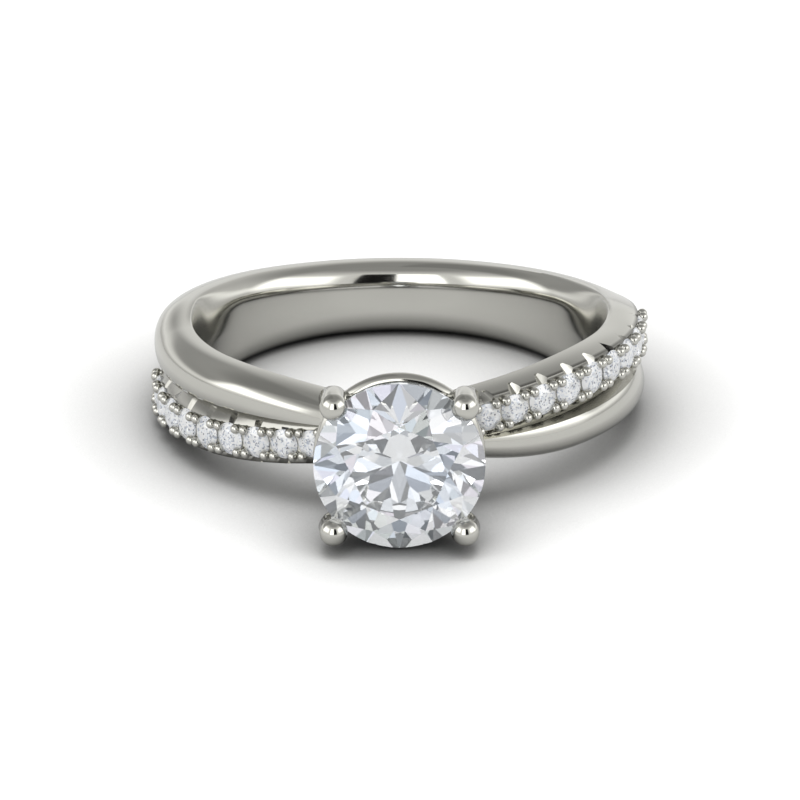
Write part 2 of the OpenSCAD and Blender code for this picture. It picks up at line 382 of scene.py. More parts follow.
# %% [markdown]
# ## Seats and pointed cuts
# A setter drills a seat for every stone and then files pointed cuts at its sides, so that light
# reaches it. Turned cutters make the seats here and three-sided ones the pointed cuts. Each kind is
# joined into one mesh, which a boolean modifier takes away from the band.

# %% Turned bodies and their placement
def lathe(profile, steps):
    """Points and faces of a closed turned body; profile runs from axis to axis as (r, z)."""
    verts, faces = [(0, 0, profile[0][1])], []
    for r, z in profile[1:-1]:
        for k in range(steps):
            t = 2 * math.pi * k / steps
            verts.append((r * math.cos(t), r * math.sin(t), z))
    verts.append((0, 0, profile[-1][1]))
    last = len(verts) - 1
    for k in range(steps):
        n = (k + 1) % steps
        faces.append((0, 1 + n, 1 + k))
        for row in range(len(profile) - 3):
            a, b = 1 + row * steps, 1 + (row + 1) * steps
            faces.append((a + k, a + n, b + n, b + k))
        a = 1 + (len(profile) - 3) * steps
        faces.append((last, a + k, a + n))
    return verts, faces


def room(d, g):
    """Outline of the room that a stone of width d needs with the gap g all round."""
    top = 0.155 * d + g + 0.3
    return [(0, -0.44 * d - 1.4 * g), (d / 2 + g, -0.02 * d - 0.3 * g), (d / 2 + g, 0.01 * d + 0.3 * g),
            (0.29 * d + g, top), (0, top)]


def place_all(parts):
    """Joins (points, faces, placement) parts into one list of points and faces."""
    verts, faces = [], []
    for v, f, m in parts:
        base = len(verts)
        verts += [m @ Vector(p) for p in v]
        faces += [tuple(base + i for i in q) for q in f]
    return verts, faces


print("faces of one seat cutter:", len(lathe(room(LARGE_DIA, GAP), 48)[1]))

# %% [markdown]
# The pointed cuts start under the stone's edge and run out of the metal at a slope. On the inner side
# they are shortened near the head, where the polished strand stands close.

# %% Cutters
CUT_SLOPE = math.radians(40)
CUT_OUT, CUT_DOWN = 0.44, 0.12
CUT_HALF, CUT_HIGH = 0.40, 0.45
CUT_BACK, CUT_REACH = 0.5, 0.70
INNER_KEPT, INNER_SHARE = 0.63, 0.766


def wedge(side, reach):
    """Three-sided cutter that slopes outward from the stone's edge."""
    t, out = CUT_SLOPE, []
    for along in (-CUT_BACK, reach):
        for x, up in ((0, 0), (CUT_HALF, CUT_HIGH), (-CUT_HALF, CUT_HIGH)):
            out.append((x, side * (CUT_OUT + along * math.cos(t) + up * math.sin(t)),
                        -CUT_DOWN - along * math.sin(t) + up * math.cos(t)))
    faces = [(0, 1, 2), (5, 4, 3), (0, 3, 4, 1), (1, 4, 5, 2), (2, 5, 3, 0)]
    return out, faces if side > 0 else [f[::-1] for f in faces]


cutters, wedges = [], []
for side, i, m in seats:
    inner = min(CUT_REACH, (float(set_z(stone_a(i))) - INNER_KEPT) / INNER_SHARE)
    wedges.append((*wedge(side, CUT_REACH), m))
    if i > 0:
        wedges.append((*wedge(-side, inner), m))
    cutters.append((*lathe(room(stone_dia(i), GAP), 48), m))
seat_cut = add_mesh("seat_cut", *place_all(cutters), smooth=False)
wedge_cut = add_mesh("wedge_cut", *place_all(wedges), smooth=False)
print("cutters:", len(seat_cut.data.polygons) + len(wedge_cut.data.polygons), "faces")

# %% [markdown]
# The modifiers are worked out once and kept as a plain mesh. Edges sharper than about thirty degrees
# stay crisp and the rest shades smoothly.

# %% Cut the band
CRISP_ANGLE, BEAD_CRISP_ANGLE = math.radians(32), math.radians(40)


def carve(obj, *tools):
    """Takes the tools away from obj."""
    for tool in tools:
        mod = obj.modifiers.new(tool.name, "BOOLEAN")
        mod.operation, mod.solver, mod.object = "DIFFERENCE", "MANIFOLD", tool
    bpy.context.view_layer.update()
    done = bpy.data.meshes.new_from_object(obj.evaluated_get(bpy.context.evaluated_depsgraph_get()))
    obj.modifiers.clear()
    old, obj.data = obj.data, done
    bpy.data.meshes.remove(old)
    done.name = obj.name
    done.polygons.foreach_set("use_smooth", [True] * len(done.polygons))
    done.set_sharp_from_angle(angle=CRISP_ANGLE)


carve(band, seat_cut, wedge_cut)
for tool in (seat_cut, wedge_cut):
    bpy.data.objects.remove(tool)
print("band after cutting:", len(band.data.polygons), "faces")

# %% [markdown]
# ## Beads
# Between neighbouring stones the setter raises four beads of metal and pushes them over the stones'
# edges. Each is a small ball on a short post, turned from one outline and set along the strand.

# %% Beads beside the small stones
BEAD_R = 0.22
BEAD_POST_R, BEAD_DEEP = 0.86 * BEAD_R, 0.6
BEAD_ALONG, BEAD_ACROSS, BEAD_SUNK = 0.24, 0.52, 0.06
BEFORE_FIRST, AFTER_LAST = 3.7, 4.6


def bead_profile(r, post, down):
    """Outline from the foot of the post to the top of the ball."""
    t = np.radians(np.linspace(-50, 90, 9))
    ball = [(r * math.cos(x), r * math.sin(x)) for x in t[:-1]]
    return [(0, -down), (post, -down), (post, -down * 0.5)] + ball + [(0, r)]


bead_parts = []
for side in (-1, 1):
    for i in range(SMALL_STONES + 1):
        if i == 0:
            a = stone_a(0) - BEFORE_FIRST
        elif i == SMALL_STONES:
            a = stone_a(SMALL_STONES - 1) + AFTER_LAST
        else:
            a = (stone_a(i - 1) + stone_a(i)) / 2
        s = slope(a)
        for along in (-BEAD_ALONG, BEAD_ALONG):
            for across in (-BEAD_ACROSS, BEAD_ACROSS):
                da = math.degrees((along * math.cos(s) - across * math.sin(s)) / CREST)
                dz = along * math.sin(s) + across * math.cos(s)
                m = on_strand(side, a + da, float(set_z(a)) + dz, CREST - BEAD_SUNK)
                bead_parts.append((*lathe(bead_profile(BEAD_R, BEAD_POST_R, BEAD_DEEP), 28), m))
beads = add_mesh("beads", *place_all(bead_parts))
beads.data.set_sharp_from_angle(angle=BEAD_CRISP_ANGLE)
print("beads:", len(bead_parts))

# %% [markdown]
# ## The prong head
# Four wires rise from the crossing strands, pass outside the stone's edge and end in round balls
# over it. A round rail under the stone ties them together. A prong is swept along its bent path with
# a radius that changes on the way, so the collar and the ball are one with the wire.

# %% Sweep along a path
def sweep(path, radii, steps):
    """Closed tube along a path with a radius at each point and pointed ends."""
    path = [Vector(p) for p in path]
    verts, faces = [path[0]], []
    side = None
    for k, p in enumerate(path[1:-1], 1):
        t = (path[k + 1] - path[k - 1]).normalized()
        side = (Vector((0, 0, 1)) if side is None else side)
        side = (side - t * side.dot(t)).normalized()
        other = t.cross(side)
        for j in range(steps):
            u = 2 * math.pi * j / steps
            verts.append(p + (side * math.cos(u) + other * math.sin(u)) * radii[k])
    verts.append(path[-1])
    last, rows = len(verts) - 1, len(path) - 2
    for j in range(steps):
        n = (j + 1) % steps
        faces.append((0, 1 + n, 1 + j))
        for row in range(rows - 1):
            a, b = 1 + row * steps, 1 + (row + 1) * steps
            faces.append((a + j, a + n, b + n, b + j))
        faces.append((last, 1 + (rows - 1) * steps + j, 1 + (rows - 1) * steps + n))
    return verts, faces


def bend(p, q, r, n):
    """Points of a quadratic curve from p to r that leans on q."""
    ts = np.linspace(0, 1, n)
    return [Vector(p) * (1 - t) ** 2 + Vector(q) * 2 * t * (1 - t) + Vector(r) * t * t for t in ts]


print("points in a bend:", len(bend((0, 0, 0), (1, 0, 0), (1, 1, 0), 10)))

# %% Prongs
FOOT_SIDE, FOOT_Y = 0.62, 9.9
KNEE_SIDE, KNEE_Y = 2.12, 12.45
NECK_X, NECK_Z, NECK_Y = 2.88, 2.90, GIRDLE_Y - 0.35
FOOT_R, KNEE_R, COLLAR, NECK_R, BALL_START_R = 0.46, 0.50, 0.085, 0.592, 0.60


def prong_mesh(sx, sz):
    """One prong on the side that the two signs name: wire, collar and ball in one sweep."""
    foot = Vector((sx * FOOT_SIDE, -FOOT_Y, sz * FOOT_SIDE))
    knee = Vector((sx * KNEE_SIDE, -KNEE_Y, sz * KNEE_SIDE))
    neck = Vector((sx * NECK_X, -NECK_Y, sz * NECK_Z))
    tip = Vector((sx * TIP_SIDE, -TIP_Y, sz * TIP_SIDE))
    leg = [foot.lerp(knee, t) for t in np.linspace(0, 0.75, 8)]
    leg += bend(foot.lerp(knee, 0.8), knee, knee.lerp(neck, 0.25), 10)
    leg += [knee.lerp(neck, t) for t in np.linspace(0.3, 0.74, 6)]
    radii = [mix(FOOT_R, KNEE_R, k / len(leg)) for k in range(len(leg))]
    for t in np.radians(np.linspace(0, 90, 9)):
        leg.append(knee.lerp(neck, 0.80 + 0.12 * (1 - math.cos(t))))
        radii.append(KNEE_R + COLLAR * math.sin(t))
    leg.append(neck)
    radii.append(NECK_R)
    axis = (tip - neck).normalized()
    for t in np.radians(np.linspace(-14, 90, 22)):
        leg.append(tip + axis * TIP_R * math.sin(t))
        radii.append(TIP_R * math.cos(t) if t > 0 else mix(TIP_R, BALL_START_R, -t / 0.25))
    leg.insert(0, foot + Vector((-sx * 0.01, 0.02, -sz * 0.01)))
    radii.insert(0, 0)
    return sweep(leg, radii, 48)


prong_names = {(-1, 1): "prong_upper_left", (1, 1): "prong_upper_right",
               (-1, -1): "prong_lower_left", (1, -1): "prong_lower_right"}
prongs = [add_mesh(name, *prong_mesh(*s)) for s, name in prong_names.items()]
print("prongs:", [o.name for o in prongs])

# %% [markdown]
# The rail is a ring of round wire. The stone's own room is then cut from prongs and rail, as a setter
# cuts a small notch for the stone's edge into each prong.

# %% Gallery rail and the notches for the stone
NOTCH_GAP = 0.02


def torus(centre_r, tube_r, y, rows, cols):
    u, v = np.meshgrid(np.arange(rows) * 2 * np.pi / rows, np.arange(cols) * 2 * np.pi / cols,
                       indexing="ij")
    r = centre_r + tube_r * np.cos(v)
    pts = np.stack([r * np.cos(u), -y + tube_r * np.sin(v), r * np.sin(u)], -1).reshape(-1, 3)
    return pts, [f[::-1] for f in grid_faces(rows, cols)]


rail = add_mesh("gallery_rail", *torus(RAIL_C, RAIL_TUBE, RAIL_Y, 160, 36))
stone_place = Matrix.Translation((0, -GIRDLE_Y, 0)) @ Matrix.Rotation(math.pi / 2, 4, "X")
stone_room = lathe(room(2 * STONE_R, NOTCH_GAP), 96)
stone_cut = add_mesh("stone_cut", *place_all([(*stone_room, stone_place)]), smooth=False)
for obj in prongs + [rail]:
    carve(obj, stone_cut)
bpy.data.objects.remove(stone_cut)
print("rail and prongs notched")

# %% [markdown]
# ## Cut stones
# A round brilliant has a flat table, eight star facets, eight kites, sixteen upper and sixteen lower
# halves, eight mains and a thin girdle. Light enters through the crown, is thrown about by the lower
# facets and comes back as the bright and dark star, so every facet is a real flat face here. Each
# face also gets a number between 0 and 1 that its material uses to choose a tint.

# %% Brilliant cut
SEG = 64
EIGHTH = SEG // 8
CROWN_TAN, PAVILION_TAN = math.tan(math.radians(33)), math.tan(math.radians(40.5))
GIRDLE_TOP, GIRDLE_LOW = 0.012, -0.022
TABLE, STAR, LOWER = 0.56, 0.80, 0.30


def scallop(corner, r, h):
    """Heights of the girdle points of one eighth, so that both halves beside a corner are flat."""
    t = np.radians(np.arange(EIGHTH + 1) * 45 / EIGHTH)
    a, b = np.array([r, 0, h]), np.array([r * np.cos(t[EIGHTH // 2]), r * np.sin(t[EIGHTH // 2]), h])
    n = np.cross(a - corner, b - corner)
    z = corner[2] - (n[0] * (r * np.cos(t) - corner[0]) + n[1] * (r * np.sin(t) - corner[1])) / n[2]
    half = list(z[:EIGHTH // 2 + 1])
    return half + half[-2::-1]


def spin(radius, heights, n, off=0.0):
    """n points round the axis, which take the heights in turn."""
    turns = [2 * math.pi * (k + off) / n for k in range(n)]
    return [(radius * math.cos(t), radius * math.sin(t), heights[k % len(heights)])
            for k, t in enumerate(turns)]


def brilliant(d):
    """Points and flat facets of a round brilliant of width d, with its table up."""
    r = d / 2
    h0, h1, rt, rs, rl = GIRDLE_TOP * d, GIRDLE_LOW * d, TABLE * r, STAR * r, LOWER * r
    star_z = h0 + (r - rs * math.cos(math.pi / 8)) * CROWN_TAN
    main_z = h1 - (r - rl * math.cos(math.pi / 8)) * PAVILION_TAN
    at_half = [math.cos(math.pi / 8), math.sin(math.pi / 8)]
    upper = scallop(np.array([rs * at_half[0], rs * at_half[1], star_z]), r, h0)
    lower = scallop(np.array([rl * at_half[0], rl * at_half[1], main_z]), r, h1)
    verts = spin(rt, [h0 + (r - rt) * CROWN_TAN], 8) + spin(rs, [star_z], 8, 0.5)
    verts += spin(r, upper[:-1], SEG) + spin(r, lower[:-1], SEG)
    verts += spin(rl, [main_z], 8, 0.5) + [(0, 0, h1 - r * PAVILION_TAN)]
    g, low, w = 16, 16 + SEG, 16 + 2 * SEG
    tip, faces, mid = w + 8, [tuple(range(8))], EIGHTH // 2
    for k in range(8):
        n, prev = (k + 1) % 8, (k + 7) % 8
        arc = [(EIGHTH * k + j) % SEG for j in range(EIGHTH + 1)]
        faces.append((k, 8 + k, n))
        faces.append((k, 8 + prev, g + arc[0], 8 + k))
        faces.append((8 + k, *[g + j for j in arc[:mid + 1]]))
        faces.append((8 + k, *[g + j for j in arc[mid:]]))
        faces.append((tip, w + k, low + arc[0], w + prev))
        faces.append((w + k, *[low + j for j in arc[mid::-1]]))
        faces.append((w + k, *[low + j for j in arc[:mid - 1:-1]]))
    for k in range(SEG):
        n = (k + 1) % SEG
        faces.append((g + k, low + k, low + n, g + n))
    return verts, faces


print("facets of a brilliant:", len(brilliant(2 * STONE_R)[1]))

# %% [markdown]
# Every stone is an object of its own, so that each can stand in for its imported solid. All of them
# draw the same row of numbers for their facets.

# %% Stones
FACET_SEED = 11


def stone(name, d, place, turn):
    """A brilliant as an object, with the number facet on each face."""
    m = place @ Matrix.Rotation(turn, 4, "Z")
    obj = add_mesh(name, *place_all([(*brilliant(d), m)]), smooth=False)
    bm = bmesh.new()
    bm.from_mesh(obj.data)
    bmesh.ops.recalc_face_normals(bm, faces=bm.faces)
    bm.to_mesh(obj.data)
    bm.free()
    shades = np.random.default_rng(FACET_SEED).random(len(obj.data.polygons))
    attr = obj.data.attributes.new("facet", "FLOAT", "FACE")
    attr.data.foreach_set("value", shades.astype(np.float32))
    return obj


centre = stone("round_brilliant", 2 * STONE_R, stone_place, 0.0)
small = []
for n, (side, i, m) in enumerate(seats):
    small.append(stone("small_brilliant_%02d" % (n + 1), stone_dia(i), m, slope(stone_a(i))))
print("stones:", 1 + len(small))

# %% [markdown]
# ## Shader helper
# Materials are node graphs. A small wrapper around a node socket lets the maths be written as plain
# expressions, and one method makes any other node.

# %% Socket wrapper
class Sock:
    """A node output that can be used like a number."""

    def __init__(self, tree, out=None):
        self.tree, self.out = tree, out

    def node(self, kind, settings=(), inputs=(), out=0):
        made = self.tree.nodes.new(kind)
        for key, value in dict(settings).items():
            if key == "stops":
                ramp = made.color_ramp
                while len(ramp.elements) < len(value):
                    ramp.elements.new(0.5)
                for e, (at, shade) in zip(ramp.elements, value):
                    e.position, e.color = at, (*shade, 1.0)
            else:
                setattr(made, key, value)
        for key, value in dict(inputs).items():
            if isinstance(value, Sock):
                self.tree.links.new(value.out, made.inputs[key])
            else:
                made.inputs[key].default_value = value
        return Sock(self.tree, made.outputs[out] if len(made.outputs) else None)

    def math(self, op, a, b=0.0, c=0.0):
        return self.node("ShaderNodeMath", {"operation": op}, {0: a, 1: b, 2: c})

    def __add__(self, o):
        return self.math("ADD", self, o)

    def __radd__(self, o):
        return self.math("ADD", o, self)

    def __sub__(self, o):
        return self.math("SUBTRACT", self, o)

    def __rsub__(self, o):
        return self.math("SUBTRACT", o, self)

    def __mul__(self, o):
        return self.math("MULTIPLY", self, o)

    def __rmul__(self, o):
        return self.math("MULTIPLY", o, self)

    def span(self, lo, hi):
        """0 below lo, 1 above hi and smooth between."""
        return self.node("ShaderNodeMapRange", {"interpolation_type": "SMOOTHSTEP"},
                         {"Value": self, "From Min": lo, "From Max": hi, "To Min": 0.0, "To Max": 1.0})

    def within(self, lo, hi, soft):
        return self.span(lo - soft, lo + soft) * (1 - self.span(hi - soft, hi + soft))

    def blend(self, a, b):
        """Mixes two colours by this value."""
        return self.node("ShaderNodeMix", {"data_type": "RGBA"}, {"Factor": self, 6: a, 7: b}, out=2)


def material(name):
    mat = bpy.data.materials.new(name)
    mat.use_nodes = True
    mat.node_tree.nodes.clear()
    return mat, Sock(mat.node_tree)


def surface(base, shader):
    base.node("ShaderNodeOutputMaterial", inputs={"Surface": shader})


def in_mm(base):
    """Object coordinates in millimetres."""
    coord = base.node("ShaderNodeTexCoord", out="Object")
    return base.node("ShaderNodeVectorMath", {"operation": "SCALE"}, {0: coord, "Scale": 1 / MM})


# %% [markdown]
# ## White gold
# The metal is a pale, slightly warm white gold with a mirror polish. A real polish is never perfect:
# very fine wheel marks and a slow change in tone keep it from looking like chrome paint. The band
# carries a value at each point which is high deep in the crack between the strands and makes the
# metal darker and rougher there: the darker colour is painted shade, the roughness a softer finish.

# %% Metal material
GOLD_DEEP, GOLD_PALE = (0.580, 0.574, 0.535, 1), (0.610, 0.604, 0.565, 1)
# The dark colour for the crack between the strands is painted shade.
CRACK_SHADE = (0.10, 0.098, 0.090, 1)
POLISH, WHEEL_MARKS, CRACK_ROUGH, SATIN_ROUGH = 0.075, 0.05, 0.2, 0.10


def white_gold(name, recess):
    """Polished metal; with the flag set it also follows the band's values for painted shade and satin.
    """
    mat, base = material(name)
    p = in_mm(base)
    slow = base.node("ShaderNodeTexNoise", inputs={"Vector": p, "Scale": 0.35, "Detail": 2.0})
    fine = base.node("ShaderNodeTexNoise", inputs={"Vector": p, "Scale": 9.0, "Detail": 3.0})
    tone = slow.blend(GOLD_DEEP, GOLD_PALE)
    rough = POLISH + fine * WHEEL_MARKS
    if recess:
        # Painted shade: the band's value darkens the colour toward that dark grey and also raises the
        # roughness.
        deep = base.node("ShaderNodeAttribute", {"attribute_name": "recess"}, out="Fac")
        tone = deep.blend(tone, CRACK_SHADE)
        satin = base.node("ShaderNodeAttribute", {"attribute_name": "satin"}, out="Fac")
        rough = rough + deep * CRACK_ROUGH + satin * SATIN_ROUGH
    bump = base.node("ShaderNodeBump", inputs={"Height": fine, "Strength": 0.02, "Distance": 0.00001})
    shader = base.node("ShaderNodeBsdfPrincipled", inputs={
        "Base Color": tone, "Metallic": 1.0, "Roughness": rough, "Normal": bump, "IOR": 2.5})
    surface(base, shader)
    return mat


plain_gold = white_gold("white_gold", False)
band_gold = white_gold("white_gold_band", True)
print("metal ready")

# %% [markdown]
# ## Where the crack lies
# The band's painted-shade value is worked out from the ring's own coordinates: it is full at the bottom
# of the seam and fades up its walls and toward the back, where the two strands have become one band.
# The bank that rises from the seam to the small stones on the left and the lip on their other side get
# some painted shade too. A second value, satin, marks the two narrow corners of the finger hole, where
# a wheel hardly fits and the finish stays softer; these corners also get a little painted shade.

# %% Ring coordinates of the band's points
def ring_coordinates(obj):
    """Radius, angle from the head in degrees and height off the mid plane, for each point."""
    co = np.empty(len(obj.data.vertices) * 3)
    obj.data.vertices.foreach_get("co", co)
    inv = np.array(PLACE.inverted())
    p = co.reshape(-1, 3) @ inv[:3, :3].T + inv[:3, 3]
    return np.hypot(p[:, 0], p[:, 1]), np.degrees(np.arctan2(p[:, 0], -p[:, 1])), p[:, 2]


def mark(obj, name, values):
    attr = obj.data.attributes.new(name, "FLOAT", "POINT")
    attr.data.foreach_set("value", values.astype(np.float32))


r, phi, z = ring_coordinates(band)
print("band radius: %.2f to %.2f mm" % (r.min(), r.max()))

# %% Painted shade and satin of the band
BANK_SHADE, LIP_SHADE, CORNER_SHADE = 0.40, 0.75, 0.20
CRACK_HALF, CRACK_FADE = 0.01, 0.13
RIGHT_SHARE = 0.55

# Painted shade in the crack between the strands, weaker on the right.
a, left = np.abs(phi), phi < 0
off = np.where(left, z - seam_z(a), -(z + seam_z(a)))
off = np.where(a < CROSSING, z, off)
near = 1 - ease((np.abs(off) - CRACK_HALF) / CRACK_FADE)
deep = ease((CREST - 0.60 - r) / 0.50) * (r > CORE)
crack = near * deep * (RIGHT_SHARE + (1 - RIGHT_SHARE) * left)

# Painted shade on the bank beside the stones on the left and on the lip at their other edge.
stone_side = -off - seam_z(a)
bank = (off < 0) * ease((set_z(a) - stone_side - 0.48) / 0.10) * (r > CORE) * (r < CREST - 0.2)
below = low_z(a) - stone_side
lip = (r > DECK - 0.17) * (r < DECK + 0.01) * (below < 0.42) * (below > 0.15)
bank_lip_shade = np.maximum(BANK_SHADE * bank * left, LIP_SHADE * lip) * (a > 12)

# The corners of the finger hole get a rougher finish and a little painted shade.
corner = (r < CORE) * ease((a - 82) / 10) * (1 - ease((a - 98) / 26))
recess = np.maximum(crack, bank_lip_shade) * (1 - ease((a - 100) / 12))
mark(band, "recess", np.maximum(recess, CORNER_SHADE * corner))
mark(band, "satin", corner)
print("points in the crack: %d, in the corners: %d" % ((crack > 0.5).sum(), (corner > 0.5).sum()))

# %% [markdown]
# ## Clear gems
# A cut stone is glass-clear with a high refractive index. Each flat facet throws the light back a
# little differently, grey, blue or lilac, because a real stone splits it into colours. Tracing every
# colour is slow, so each facet carries a number, facet, that picks one of a few pale tints: painted
# colours of the split light, the darker ones painted shade. The centre stone's glass also glows
# faintly, a painted light.

# %% Glass helper and tints
GEM_IOR = 2.40
# The centre stone's glass glows faintly by GLOW, a painted light.
GLOW = 0.03
TINTS = [(0.0, (0.86, 0.88, 0.90, 1)), (0.25, (0.74, 0.78, 0.80, 1)),
         (0.42, (0.76, 0.84, 0.97, 1)), (0.55, (0.93, 0.94, 0.96, 1)),
         (0.72, (0.90, 0.86, 0.92, 1)), (0.82, (0.60, 0.64, 0.66, 1)),
         (0.93, (0.70, 0.76, 0.72, 1))]


def glass(base, colour, glow=0.0):
    return base.node("ShaderNodeBsdfPrincipled", inputs={
        "Base Color": colour, "Specular Tint": colour, "Roughness": 0.0, "IOR": GEM_IOR,
        "Transmission Weight": 1.0, "Emission Color": colour, "Emission Strength": glow})


print("gem tints:", len(TINTS))

# %% Material of the centre stone
def centre_gem(name):
    """Clear glass in the tint whose limit in TINTS the facet's number has passed; tints and glow are
    painted light.
    """
    mat, base = material(name)
    facet = base.node("ShaderNodeAttribute", {"attribute_name": "facet"}, out="Fac")
    shader = glass(base, TINTS[0][1], GLOW)
    for limit, colour in TINTS[1:]:
        pick = base.math("GREATER_THAN", facet, limit)
        tinted = glass(base, colour, GLOW)
        shader = base.node("ShaderNodeMixShader", inputs={0: pick, 1: shader, 2: tinted})
    surface(base, shader)
    return mat


gem_centre = centre_gem("clear_gem_centre")
print("nodes in the centre gem:", len(gem_centre.node_tree.nodes))

# %% [markdown]
# A small stone is seen as a white glitter of specks finer than its facets. About half of its light
# comes from the clear glass, the rest from painted glitter: a field of tiny pale and dark specks,
# painted highlights and painted shade, which also glow faintly as a painted light.

# %% Material of the small stones
SPECKS_PER_MM = 14.0
GLINT_SHARE, GLINT_GLOW = 0.52, 0.16


def small_gem(name):
    mat, base = material(name)
    glitter_specks = base.node("ShaderNodeTexVoronoi", {"feature": "F1"},
                      {"Vector": in_mm(base), "Scale": SPECKS_PER_MM}, out="Color")
    tone = base.node("ShaderNodeSeparateColor", inputs={"Color": glitter_specks})
    shade = base.node("ShaderNodeValToRGB", {"stops": [
        (0.0, (0.10, 0.11, 0.14)), (0.12, (0.45, 0.50, 0.60)), (0.30, (0.84, 0.88, 0.95)),
        (0.5, (1.0, 1.0, 1.0))]}, {"Fac": tone})
    # The glint is painted light: pale and dark specks in its colour and a faint glow.
    glint = base.node("ShaderNodeBsdfPrincipled", inputs={
        "Base Color": shade, "Roughness": 0.25, "IOR": 2.0, "Emission Color": shade,
        "Emission Strength": GLINT_GLOW})
    clear = glass(base, (0.98, 0.99, 1.0, 1))
    surface(base, base.node("ShaderNodeMixShader", inputs={0: GLINT_SHARE, 1: clear, 2: glint}))
    return mat


gem_small = small_gem("clear_gem_small")
print("nodes in the small gem:", len(gem_small.node_tree.nodes))

# %% [markdown]
# ## Joining the pieces to the imported ring
# Every piece rides on the ring's one body and takes a metal or gem material; the imported solid
# that it stands for is hidden.

# %% Ride, replace and finish slots
metal = [band, beads, *prongs, rail]
for obj in metal:
    obj.data.materials.clear()
    obj.data.materials.append(band_gold if obj is band else plain_gold)
    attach(obj, "root")
    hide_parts("ring_mount")
gems = [centre, *small]
gem_nodes = ["centre_stone"] + ["pave_stone_%02d" % (k + 1) for k in range(len(small))]
for obj, node in zip(gems, gem_nodes):
    obj.data.materials.clear()
    obj.data.materials.append(gem_centre if obj is centre else gem_small)
    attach(obj, "root")
    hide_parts(node)
print("pieces:", len(metal) + len(gems))

# %% [markdown]
# ## Studio
# A jewellery photographer surrounds a ring with pale cards and a few dark ones, because polished
# metal shows nothing but its surroundings. The world is such a tent: bright cards at both sides and
# darker paper behind the ring, with a soft pale ridge low down. Directions are an azimuth, 0 in front
# of the ring and positive to its right, and a height above the horizon, both in degrees.

# %% Tent of cards
world = bpy.data.worlds.new("tent")
bpy.context.scene.world = world
world.use_nodes = True
world.node_tree.nodes.clear()
wb = Sock(world.node_tree)
way = wb.node("ShaderNodeTexCoord", out="Generated")
wx, wy, wz = (wb.node("ShaderNodeSeparateXYZ", inputs={0: way}, out=k) for k in range(3))
az = wb.math("ARCTAN2", wx, wy * -1.0) * (180 / math.pi)
el = wb.math("ARCSINE", wz) * (180 / math.pi)
around = wb.math("ABSOLUTE", az)

SIDE_CARDS, RIDGE, FLOOR_SHADE = 1.3, 0.5, 0.3
CORNER_RIGHT, CORNER_LEFT = 0.1, 0.5

behind = around.span(70, 120)
sky = 0.90 - 0.52 * (el.span(44, 70) * (1 - behind) + el.span(8, 56) * behind)
corners = around.within(100, 171, 6) * el.span(4, 11) * (1 - 0.5 * el.span(22, 40))
low_back = around.within(98, 160, 6) * (1 - el.span(4, 11))
sides = around.within(44, 101, 8) * el.within(12, 42, 7)
ridge = around.within(90, 165, 12) * el.within(5, 15, 4)
on_left = wb.math("LESS_THAN", az, 0.0)
corner_dark = CORNER_RIGHT + (CORNER_LEFT - CORNER_RIGHT) * on_left
light = sky * (1 - corner_dark * corners) * (1 - FLOOR_SHADE * low_back)
light = light + sides * SIDE_CARDS + ridge * RIDGE
print("nodes for the tent:", len(world.node_tree.nodes))

# %% [markdown]
# Straight in front stand one white and one black card. They give every ball tip and bead its small
# bright and dark mark.

# %% White and black card
CARD_TOP, CARD_EDGE = 47, 0.6
WHITE_FROM, WHITE_TO, BLACK_TO = -29, 2, 28
WHITE, BLACK, WARMTH = 2.2, 0.01, 0.985

front = el.within(0, CARD_TOP, CARD_EDGE)
white_card = az.within(WHITE_FROM, WHITE_TO, CARD_EDGE) * front
black_card = az.within(WHITE_TO, BLACK_TO, CARD_EDGE) * front
light = light * (1 - black_card) * (1 - white_card) + white_card * WHITE + black_card * BLACK
colour = wb.node("ShaderNodeCombineColor", inputs={0: light, 1: light, 2: light * WARMTH})
print("nodes with the cards:", len(world.node_tree.nodes))

# %% [markdown]
# Light that leaves a cut stone has come in from many directions at once. Pictures often give the
# stones surroundings of their own, a patchwork of pale and dark papers, so each facet picks up
# another patch. Only rays that have passed through a stone see it, the metal keeps the plain tent.

# %% Patchwork for the stones
PATCHES, DARKEST, STONE_BOOST = 4.6, 0.03, 0.2
patches = wb.node("ShaderNodeTexVoronoi", {"feature": "F1"}, {"Vector": way, "Scale": PATCHES},
                  out="Color")
level, hue = (wb.node("ShaderNodeSeparateColor", inputs={0: patches}, out=k) for k in (0, 1))
pastel = wb.node("ShaderNodeValToRGB", {"stops": [
    (0.0, (0.84, 0.89, 0.87)), (0.3, (0.95, 0.97, 1.0)), (0.5, (0.76, 0.86, 1.0)),
    (0.7, (0.96, 0.90, 0.97)), (0.85, (1.0, 1.0, 1.0))]}, {"Fac": hue})
through = wb.node("ShaderNodeLightPath", out="Is Transmission Ray")
colour = through.blend(colour, (DARKEST + level).blend((0.0, 0.0, 0.0, 1), pastel))
strength = 1.0 + STONE_BOOST * through
back = wb.node("ShaderNodeBackground", inputs={"Color": colour, "Strength": strength})
wb.node("ShaderNodeOutputWorld", inputs={"Surface": back})
print("nodes of the whole world:", len(world.node_tree.nodes))

# %% [markdown]
# The floor is a plain white sheet. Its colour carries a painted soft shadow: it gets darker where the
# ring stands close over it, like the soft shadow in the picture. It also carries a painted shade that
# only reflections and bounced light see, so the metal sees it a little darker than the eye does.

# %% Floor
FLOOR_HALF, FLOOR_BELOW = 0.4, 0.00002
SHADOW_REACH, SHADOW_POWER = 0.006, 1.3
FLOOR_IN_METAL = 0.70

